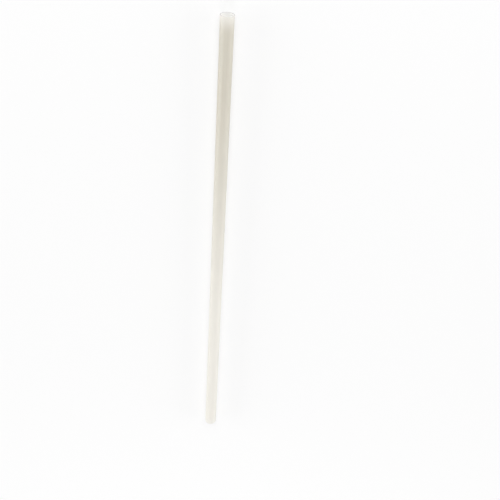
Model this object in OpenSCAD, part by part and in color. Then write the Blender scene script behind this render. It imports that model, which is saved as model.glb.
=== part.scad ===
// Straight drinking straw: one extruded tube of milky bioplastic, open right through.
// It lies on its side along X, on the plane Z = 0, with its middle over the origin.
// Both ends are knife cut square across, and each cut edge is a little rounded.

/* [Tube] */
// Length from one cut end to the other
straw_length = 240; // [120:1:300]
// Outside diameter
outside_d = 6; // [4:0.1:12]
// Thickness of the extruded wall
wall = 0.25; // [0.15:0.01:0.6]

/* [Cut ends] */
// Rounding of the outer edge, where the knife goes in
outer_edge_r = 0.08; // [0.02:0.01:0.2]
// Rounding of the inner edge, where the knife comes out
inner_edge_r = 0.04; // [0.02:0.01:0.2]

/* [Hidden] */
// Facets round the tube and round each edge's rounding
tube_facets = 96;
edge_facets = 24;
// Share of the wall that one rounding may take, so that a flat ring stays between the two
most_of_wall = 0.45;
outside_r = outside_d / 2;
bore_r = outside_r - wall;
outer_round = min(outer_edge_r, most_of_wall * wall);
inner_round = min(inner_edge_r, most_of_wall * wall);
ivory = [0.86, 0.84, 0.77];

// Half of the wall's section, from the middle of the tube to one cut end.
// X is the distance from the tube's axis and Y runs along it.
module wall_section_half() {
    half = straw_length / 2;
    // Flat of the cut, between the two roundings
    translate([bore_r + inner_round, 0])
        square([wall - inner_round - outer_round, half]);
    // Skin inside and skin outside, each up to its own rounding
    translate([bore_r, 0])
        square([wall / 2, half - inner_round]);
    translate([bore_r + wall / 2, 0])
        square([wall / 2, half - outer_round]);
    // Rounded edges of the cut
    translate([bore_r + inner_round, half - inner_round])
        circle(r = inner_round, $fn = edge_facets);
    translate([outside_r - outer_round, half - outer_round])
        circle(r = outer_round, $fn = edge_facets);
}

// Whole section of the wall, the same at both ends
module wall_section() {
    wall_section_half();
    mirror([0, 1])
        wall_section_half();
}

// Straw, turned about its own axis and laid down along X
module straw() {
    color(ivory)
        translate([0, 0, outside_r])
            rotate([0, 90, 0])
                rotate_extrude($fn = tube_facets)
                    wall_section();
}

straw();
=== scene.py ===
import math

import bpy
import numpy as np
from mathutils import Matrix, Vector


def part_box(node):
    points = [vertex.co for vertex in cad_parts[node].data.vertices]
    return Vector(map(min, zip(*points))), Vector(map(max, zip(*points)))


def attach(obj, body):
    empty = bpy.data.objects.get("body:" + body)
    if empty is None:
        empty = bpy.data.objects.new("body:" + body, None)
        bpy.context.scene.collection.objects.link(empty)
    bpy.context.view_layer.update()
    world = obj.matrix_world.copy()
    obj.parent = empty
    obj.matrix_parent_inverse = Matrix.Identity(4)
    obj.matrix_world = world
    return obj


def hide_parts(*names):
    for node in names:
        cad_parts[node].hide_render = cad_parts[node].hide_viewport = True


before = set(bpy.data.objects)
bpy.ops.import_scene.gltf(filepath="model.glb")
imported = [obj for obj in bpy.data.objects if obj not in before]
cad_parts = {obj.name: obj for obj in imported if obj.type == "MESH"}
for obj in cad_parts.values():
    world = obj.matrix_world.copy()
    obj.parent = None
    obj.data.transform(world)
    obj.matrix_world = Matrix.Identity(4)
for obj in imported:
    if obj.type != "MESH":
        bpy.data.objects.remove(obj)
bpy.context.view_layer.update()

# Camera. The straw lies on the floor with its mouth towards the camera, which looks down on it from
# beyond that end and is rolled half round, so that the mouth comes at the top of the picture and the
# foot near its bottom. The two ends of the straw's axis are put on their places in the picture.
PICTURE = 500
FOCAL = 800.0
SENSOR = 36.0
MOUTH_AT = (227.4, 14.6)
FOOT_AT = (210.6, 420.0)
MOUTH_DEPTH = 0.319
low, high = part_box("straw")
straw_long = high.x - low.x
straw_wide = high.z - low.z
axis_height = (low.z + high.z) / 2


def sight_line(place):
    """Direction from the lens through a place in the picture, as long as one unit of depth."""
    across = (place[0] - PICTURE / 2) / FOCAL
    down = (place[1] - PICTURE / 2) / FOCAL
    return Vector((across, -down, -1.0))


# The mouth's middle is at its depth. The foot's is on its own line, one straw's length away:
# |s * line - mouth| = length is a quadratic in s, and the farther root is the foot.
mouth = sight_line(MOUTH_AT) * MOUTH_DEPTH
line = sight_line(FOOT_AT)
square = line.dot(line)
half_linear = line.dot(mouth)
constant = mouth.dot(mouth) - straw_long ** 2
foot = line * ((half_linear + math.sqrt(half_linear ** 2 - square * constant)) / square)
middle = (mouth + foot) / 2
along_x = (mouth - foot).normalized()
up_z = (-middle - (-middle).dot(along_x) * along_x).normalized()
side_y = up_z.cross(along_x)
turned = Matrix((along_x, side_y, up_z))
camera_data = bpy.data.cameras.new("camera")
camera_data.sensor_width = SENSOR
camera_data.lens = FOCAL * SENSOR / PICTURE
camera_data.clip_start = 0.01
camera = bpy.data.objects.new("camera", camera_data)
place = Vector((0, 0, axis_height)) - turned @ middle
camera.matrix_world = Matrix.Translation(place) @ turned.to_4x4()
bpy.context.scene.collection.objects.link(camera)
bpy.context.scene.camera = camera

# Straw. One tube of milky ivory bioplastic, pressed through a ring-shaped die and cut to length by
# a knife that crosses it while it runs. The die leaves faint lines along it and a wall that isn't
# quite even, and the knife leaves a fine rounding outside, a smaller one inside and a faint burr.
MM = 0.001
WALL = 0.25 * MM
OUTER_ROUND = 0.08 * MM
INNER_ROUND = 0.04 * MM
# How far the real tube falls short of a true one all along, and at its ends
SLACK = 0.02 * MM
OVAL = 0.012 * MM
UNEVEN_WALL = 0.018 * MM
PRESSED = 0.05 * MM
LEAN = 0.04 * MM
BURR = 0.025 * MM
# How far from a cut the press and the lean reach, and how far the burr does
PRESS_REACH = 5 * MM
BURR_REACH = 0.1 * MM
# Turns from straight up, in radians: where the knife comes in, and where the wall is thickest
KNIFE_SIDE = 0.3
THICK_SIDE = 2.0
# How the thick side turns along the straw, in radians per metre, and how the oval's long side
# swings: for each wave the radians of swing, the radians per metre and the start
THICK_TURN = 3.0
OVAL_SWINGS = ((0.6, 9.0, 0.0), (0.35, 31.0, 1.0))
# The grid's steps round the straw, round an edge, over the flat of the cut and along a skin
ROUND_STEPS = 192
EDGE_STEPS = 8
FACE_STEPS = 5
END_STEPS = np.array([0, 0.06, 0.13, 0.22, 0.35, 0.6, 1, 1.6, 2.5, 4, 6, 8.5, 12]) * MM
MIDDLE_STEPS = 110
# Share of cut plastic at the first points of the outer edge's rounding
CUT_BEGINS = (0.0, 0.3, 0.7)


def skin_places(length):
    """Distances along a skin of the wall, close together at both ends and even between them."""
    middle = np.linspace(END_STEPS[-1], length - END_STEPS[-1], MIDDLE_STEPS)[1:-1]
    return np.concatenate([END_STEPS, middle, length - END_STEPS[::-1]])


def wall_section():
    """Closed outline of the wall's section: arrays of the place along the straw, of the distance
    from its axis, and of how much of the point belongs to the knife's cut. It runs up the outer
    skin, round the outer edge, down the flat of the cut, round the inner edge, back down the bore,
    and the same at the foot. A rounded edge is a quarter of a circle."""
    half = straw_long / 2
    outer, bore = straw_wide / 2, straw_wide / 2 - WALL
    quarter = np.linspace(0, math.pi / 2, EDGE_STEPS + 1)[1:]
    up = skin_places(straw_long - 2 * OUTER_ROUND) - half + OUTER_ROUND
    down = half - INNER_ROUND - skin_places(straw_long - 2 * INNER_ROUND)[1:-1]
    flat = np.linspace(outer - OUTER_ROUND, bore + INNER_ROUND, FACE_STEPS + 1)[1:]
    # The mouth's cut, which the foot's mirrors in the opposite order
    cut_run = [half - OUTER_ROUND + OUTER_ROUND * np.sin(quarter)]
    cut_rise = [outer - OUTER_ROUND + OUTER_ROUND * np.cos(quarter)]
    cut_run += [np.full(FACE_STEPS, half), half - INNER_ROUND + INNER_ROUND * np.cos(quarter)]
    cut_rise += [flat, bore + INNER_ROUND - INNER_ROUND * np.sin(quarter)]
    cut_run, cut_rise = np.concatenate(cut_run), np.concatenate(cut_rise)
    knifed = np.ones(len(cut_run))
    knifed[:len(CUT_BEGINS)] = CUT_BEGINS
    knifed[-1] = 0.0
    run = np.concatenate([up, cut_run, down, -cut_run[::-1]])
    rise = np.concatenate([np.full(len(up), outer), cut_rise, np.full(len(down), bore), cut_rise[::-1]])
    cut = np.concatenate([0 * up, knifed, 0 * down, knifed[::-1]])
    return run, rise, cut


def straw_surface(run, rise, turn):
    """The straw's whole skin, as points on a grid of section by turn. A point is at run along X and
    at rise from the axis, turned about it from straight up. The radius is less by a little slack and
    by a small oval whose long side turns slowly along the straw. The bore is a little off centre, so
    that the wall is thinner on one side. Towards each end the slack goes, the knife has pressed the
    tube flat by a few hundredths, the cut leans by as little, and the bore's edge has a burr where
    the knife leaves it. All of this is inwards from the straw's full size, and the whole is lowered
    by what its underside has lost, so that it rests on the floor all along."""
    half, outer = straw_long / 2, straw_wide / 2
    x, r, t = run[:, None], rise[:, None], turn[None, :]
    inside = (outer - r) / WALL
    from_end = half - np.abs(x)
    near_end = np.exp(-((from_end / PRESS_REACH) ** 2))
    twist = sum(swing * np.sin(rate * x + start) for swing, rate, start in OVAL_SWINGS)

    def less_round(angle):
        oval = (SLACK + OVAL * (1 - np.cos(2 * (angle - twist)))) * (1 - near_end)
        return oval + PRESSED * (0.5 + 0.5 * np.cos(2 * angle)) * near_end

    uneven = UNEVEN_WALL * np.cos(t - THICK_SIDE - THICK_TURN * x) * inside
    leaving = np.clip(-np.cos(t - KNIFE_SIDE), 0, 1) ** 2
    burr = BURR * leaving * inside * np.exp(-((from_end / BURR_REACH) ** 2))
    radius = r - less_round(t) - uneven - burr
    lean = LEAN * (1 - np.cos(t - KNIFE_SIDE)) * near_end
    along = x - np.sign(x) * lean
    axis = axis_height - less_round(math.pi)
    return np.stack([along + 0 * t, radius * np.sin(t), axis + radius * np.cos(t)], axis=-1)


def closed_grid(name, points):
    """Mesh of a grid of points that closes on itself both ways, with its faces pointing outwards."""
    rows, columns = points.shape[:2]
    number = np.arange(rows * columns).reshape(rows, columns)
    after = np.roll(number, -1, axis=0)
    quads = np.stack([number, np.roll(number, -1, axis=1), np.roll(after, -1, axis=1), after], axis=-1)
    mesh = bpy.data.meshes.new(name)
    mesh.vertices.add(rows * columns)
    mesh.vertices.foreach_set("co", points.reshape(-1).astype(np.float32))
    mesh.loops.add(quads.size)
    mesh.loops.foreach_set("vertex_index", quads.reshape(-1).astype(np.int32))
    mesh.polygons.add(rows * columns)
    mesh.polygons.foreach_set("loop_start", np.arange(0, quads.size, 4, dtype=np.int32))
    mesh.polygons.foreach_set("use_smooth", np.ones(rows * columns, bool))
    mesh.update(calc_edges=True)
    mesh.validate()
    return mesh


turn = np.linspace(0, 2 * math.pi, ROUND_STEPS, endpoint=False)
run, rise, cut_share = wall_section()
straw_mesh = closed_grid("straw_tube", straw_surface(run, rise, turn))
# How much of each point is cut plastic, and how much is bore. The cut's share also sets a painted rim
# shade, least where the knife comes in, so the rim is painted lighter on top than underneath
RIM_SHADE_SPARED_ON_TOP = 0.8
cut_round = 1 - RIM_SHADE_SPARED_ON_TOP * np.clip(np.cos(turn - KNIFE_SIDE), 0, 1)
bore_share = (straw_wide / 2 - rise) / WALL
shares = {
    "knife_cut": np.outer(cut_share, cut_round),
    "bore_side": np.outer(bore_share, np.ones(ROUND_STEPS)),
}
for name, share in shares.items():
    on_skin = straw_mesh.attributes.new(name, "FLOAT", "POINT")
    on_skin.data.foreach_set("value", share.reshape(-1).astype(np.float32))
straw = bpy.data.objects.new("straw_tube", straw_mesh)
bpy.context.scene.collection.objects.link(straw)


class Wire:
    """One socket of a material's nodes. Arithmetic on wires adds Math nodes, and node() adds any
    other node: its settings are set first, and then the values or wires of its sockets."""

    def __init__(self, tree, socket=None):
        self.tree = tree
        self.socket = socket

    def node(self, kind, settings, sockets, out=0):
        made = self.tree.nodes.new(kind)
        for name, value in settings.items():
            if name == "stops":
                ramp = made.color_ramp.elements
                for number, (place, colour) in enumerate(value):
                    stop = ramp[number] if number < 2 else ramp.new(place)
                    stop.position, stop.color = place, colour
            else:
                setattr(made, name, value)
        for name, value in sockets.items():
            if isinstance(value, Wire):
                self.tree.links.new(value.socket, made.inputs[name])
            else:
                made.inputs[name].default_value = value
        return Wire(self.tree, made.outputs[out] if made.outputs else None)

    def maths(self, how, first, second):
        return self.node("ShaderNodeMath", {"operation": how}, {0: first, 1: second})

    def __add__(self, other):
        return self.maths("ADD", self, other)

    def __sub__(self, other):
        return self.maths("SUBTRACT", self, other)

    def __rsub__(self, other):
        return self.maths("SUBTRACT", other, self)

    def __mul__(self, other):
        return self.maths("MULTIPLY", self, other)

    __radd__ = __add__
    __rmul__ = __mul__


def new_finish(name):
    """Empty node material and a wire to start its nodes from."""
    material = bpy.data.materials.new(name)
    material.use_nodes = True
    material.node_tree.nodes.clear()
    return material, Wire(material.node_tree)


def smooth_step(wire, low_value, high_value):
    """Mask that rises smoothly from 0 to 1 between two values of a wire."""
    return wire.node(
        "ShaderNodeMapRange",
        {"interpolation_type": "SMOOTHSTEP"},
        {"Value": wire, "From Min": low_value, "From Max": high_value},
    )


def noise(where, stretch, detail, rough=0.5):
    """Noise on Object coordinates, from 0 to 1, with so many spots per metre along each axis."""
    placed = where.node("ShaderNodeMapping", {}, {"Vector": where, "Scale": stretch})
    sockets = {"Vector": placed, "Scale": 1.0, "Detail": detail, "Roughness": rough}
    return where.node("ShaderNodeTexNoise", {"noise_dimensions": "3D"}, sockets)


def towards(colour, share, other):
    """Colour mixed with another one by a share from 0 to 1."""
    sockets = {"Factor": share, "A": colour, "B": (*other, 1)}
    return colour.node("ShaderNodeMix", {"data_type": "RGBA"}, sockets, out="Result")


bioplastic, start = new_finish("milky_bioplastic")
where = start.node("ShaderNodeTexCoord", {}, {}, out="Object")
along = where.node("ShaderNodeSeparateXYZ", {}, {"Vector": where})
from_end = straw_long / 2 - along.maths("ABSOLUTE", along, 0.0)
cut = start.node("ShaderNodeAttribute", {"attribute_name": "knife_cut"}, {}, out="Fac")
bore = start.node("ShaderNodeAttribute", {"attribute_name": "bore_side"}, {}, out="Fac")

# Die lines along the tube: soft bands about a millimetre wide and finer lines on them
bands = noise(where, (9.0, 700.0, 700.0), 2.0)
lines = noise(where, (14.0, 3600.0, 3600.0), 3.0, 0.65)
# Clouds in the milky plastic, slow drifts from warm to cool ivory, and the matt skin's fine grain
clouds = noise(where, (110.0, 240.0, 240.0), 3.0, 0.55)
drift = smooth_step(noise(where, (16.0, 160.0, 160.0), 1.0), 0.42, 0.62)
grain = noise(where, (6000.0, 6000.0, 6000.0), 2.0)
# Strokes of the knife over the flat of the cut
strokes = noise(where, (3000.0, 800.0, 14000.0), 2.0)

tone = 0.35 * bands + 0.45 * lines + 0.2 * clouds
ivory = tone.node(
    "ShaderNodeValToRGB",
    {"stops": [(0.37, (0.683, 0.645, 0.549, 1)), (0.63, (0.757, 0.722, 0.641, 1))]},
    {"Fac": tone},
)
ivory = towards(ivory, 0.5 * drift, (0.716, 0.695, 0.613))
# Painted light: the colour is lightened towards the foot, as painted brightness rather than the
# plastic's own tone, and is palest next to each cut, a painted glow for the light that comes in at the
# open ends
painted_foot_light = smooth_step(along, 0.46 * straw_long, -0.22 * straw_long)
painted_end_light = smooth_step(from_end, 7.8 * MM, -1.5 * MM)
colour = towards(ivory, painted_foot_light, (0.898, 0.875, 0.814))
colour = towards(colour, painted_end_light, (0.866, 0.85, 0.815))
# Painted light: the bore is near white, lighter than the ivory outside, to stand in for the light that
# fills the tube
colour = towards(colour, bore, (0.98, 0.98, 0.975))
# Painted shade: the cut face is mixed towards grey, for the dark outline that the rim's edge shows
colour = towards(colour, cut * (0.75 + 0.25 * strokes), (0.4, 0.4, 0.395))
height = 0.5 * bands + 0.4 * lines + 0.12 * grain + 0.5 * cut * strokes
bump = height.node("ShaderNodeBump", {}, {"Height": height, "Strength": 0.6, "Distance": 0.02 * MM})
rough = 0.34 + 0.16 * clouds + 0.2 * lines
skin = rough.node(
    "ShaderNodeBsdfPrincipled",
    {},
    {"Base Color": colour, "Roughness": rough, "Normal": bump, "IOR": 1.46},
    out="BSDF",
)
# Light comes through the wall: deep ivory through the body, and paler towards the foot, next to a cut
# and out of the bore. Towards the foot and next to a cut this follows the painted light of the colour.
deep = rough.node("ShaderNodeBsdfTranslucent", {}, {"Color": (0.745, 0.71, 0.625, 1)}, out="BSDF")
clear = rough.node("ShaderNodeBsdfTranslucent", {}, {"Color": (0.95, 0.94, 0.91, 1)}, out="BSDF")
clearer = 0.9 * painted_foot_light
clearer = clearer + painted_end_light * (0.65 - clearer)
clearer = clearer + bore * (1 - clearer)
glow = clear.node("ShaderNodeMixShader", {}, {0: clearer, 1: deep, 2: clear}, out="Shader")
# How much comes through: more out of the bore than out of the outside, but the other way round
# next to a cut, and less through the denser lines and the cut itself
all_along = 0.26 + 0.16 * bore
next_to_cut = painted_end_light * (0.12 - 0.46 * bore)
through = (all_along + next_to_cut + 0.15 * (tone - 0.5)) * (1 - 0.6 * cut)
skin = skin.node("ShaderNodeMixShader", {}, {0: through, 1: skin, 2: glow}, out="Shader")
skin.node("ShaderNodeOutputMaterial", {}, {"Surface": skin})
straw_mesh.materials.append(bioplastic)
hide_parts("straw")
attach(straw, "root")

# Floor. A wide round board, painted matt white, that the straw lies on. The camera sees it near
# white, and whiter with distance, while it keeps the straw's soft shadow.
FLOOR_RADIUS = 4.0
# Steps round the disc, rings on it, and the place of the first ring from 0 to 1
FLOOR_STEPS = 64
FLOOR_RINGS = 12
FIRST_RING = 0.05


def floor_surface(ring, turn):
    """Flat disc: a point is at a radius that grows as the square of the ring, turned about Z."""
    radius = FLOOR_RADIUS * ring[:, None] ** 2
    t = turn[None, :]
    return np.stack([radius * np.cos(t), radius * np.sin(t), 0 * radius * t], axis=-1)


rings = np.linspace(FIRST_RING, 1, FLOOR_RINGS)
points = floor_surface(rings, np.linspace(0, 2 * math.pi, FLOOR_STEPS, endpoint=False))
number = np.arange(FLOOR_RINGS * FLOOR_STEPS).reshape(FLOOR_RINGS, FLOOR_STEPS)
beside = np.roll(number, -1, axis=1)
quads = np.stack([number[:-1], number[1:], beside[1:], beside[:-1]], axis=-1).reshape(-1, 4)
floor_mesh = bpy.data.meshes.new("floor")
floor_mesh.from_pydata(points.reshape(-1, 3).tolist(), [], [*quads.tolist(), number[0].tolist()])
floor_mesh.update()
floor = bpy.data.objects.new("floor", floor_mesh)
bpy.context.scene.collection.objects.link(floor)
white, start = new_finish("white_board")
seen = start.node("ShaderNodeLightPath", {}, {}, out="Is Camera Ray")
colour = seen.node(
    "ShaderNodeMix",
    {"data_type": "RGBA"},
    {"Factor": seen, "A": (0.85, 0.85, 0.85, 1), "B": (0.945, 0.945, 0.945, 1)},
    out="Result",
)
board = seen.node("ShaderNodeBsdfPrincipled", {}, {"Base Color": colour, "Roughness": 0.9}, out="BSDF")
lit = seen.node("ShaderNodeEmission", {}, {"Color": (0.988, 0.988, 0.988, 1), "Strength": 1.0})
where = seen.node("ShaderNodeTexCoord", {}, {}, out="Object")
distance = where.node("ShaderNodeVectorMath", {"operation": "LENGTH"}, {0: where}, out="Value")
white_share = (0.6 + 0.4 * smooth_step(distance, 0.12, 0.5)) * seen
board = seen.node("ShaderNodeMixShader", {}, {0: white_share, 1: board, 2: lit}, out="Shader")
board.node("ShaderNodeOutputMaterial", {}, {"Surface": board})
floor_mesh.materials.append(white)

# Light. A pale room, a long soft lamp low on each side of the straw, one beyond its mouth over the
# camera's shoulder, and a weaker one beyond its foot. Its sides and its mouth are then a little
# lighter than its middle.
world = bpy.data.worlds.new("pale_room")
world.use_nodes = True
world.node_tree.nodes.clear()
bpy.context.scene.world = world
start = Wire(world.node_tree)
ROOM = 0.25
seen = start.node("ShaderNodeLightPath", {}, {}, out="Is Camera Ray")
path = seen.socket.node
mirrored = Wire(start.tree, path.outputs["Is Glossy Ray"])
let_through = Wire(start.tree, path.outputs["Is Transmission Ray"])
shown = seen + mirrored + let_through
strength = ROOM + (1 - ROOM) * shown.maths("MINIMUM", shown, 1.0)
room = strength.node("ShaderNodeBackground", {}, {"Color": (1, 1, 1, 1), "Strength": strength})
room.node("ShaderNodeOutputWorld", {}, {"Surface": room})


def soft_lamp(name, place, size, level):
    """Area lamp facing the straw's middle. A white surface that faces it there shines at `level`."""
    lamp = bpy.data.lights.new(name, "AREA")
    lamp.shape = "RECTANGLE"
    lamp.size, lamp.size_y = size
    spot = Vector(place)
    lamp.energy = level * math.pi ** 2 * spot.length_squared
    holder = bpy.data.objects.new(name, lamp)
    facing = (-spot).to_track_quat("-Z", "Y").to_matrix().to_4x4()
    holder.matrix_world = Matrix.Translation(spot) @ facing
    holder.visible_camera = False
    bpy.context.scene.collection.objects.link(holder)


soft_lamp("lamp_left", (0.0, 1.27, 0.27), (1.6, 0.46), 0.57)
soft_lamp("lamp_right", (0.0, -1.27, 0.27), (1.6, 0.46), 0.52)
soft_lamp("lamp_mouth", (1.0, 0.0, 0.85), (1.0, 0.8), 0.72)
soft_lamp("lamp_foot", (-0.6, 0.0, 0.42), (0.5, 0.5), 0.36)

bpy.context.scene.view_settings.view_transform = "Standard"
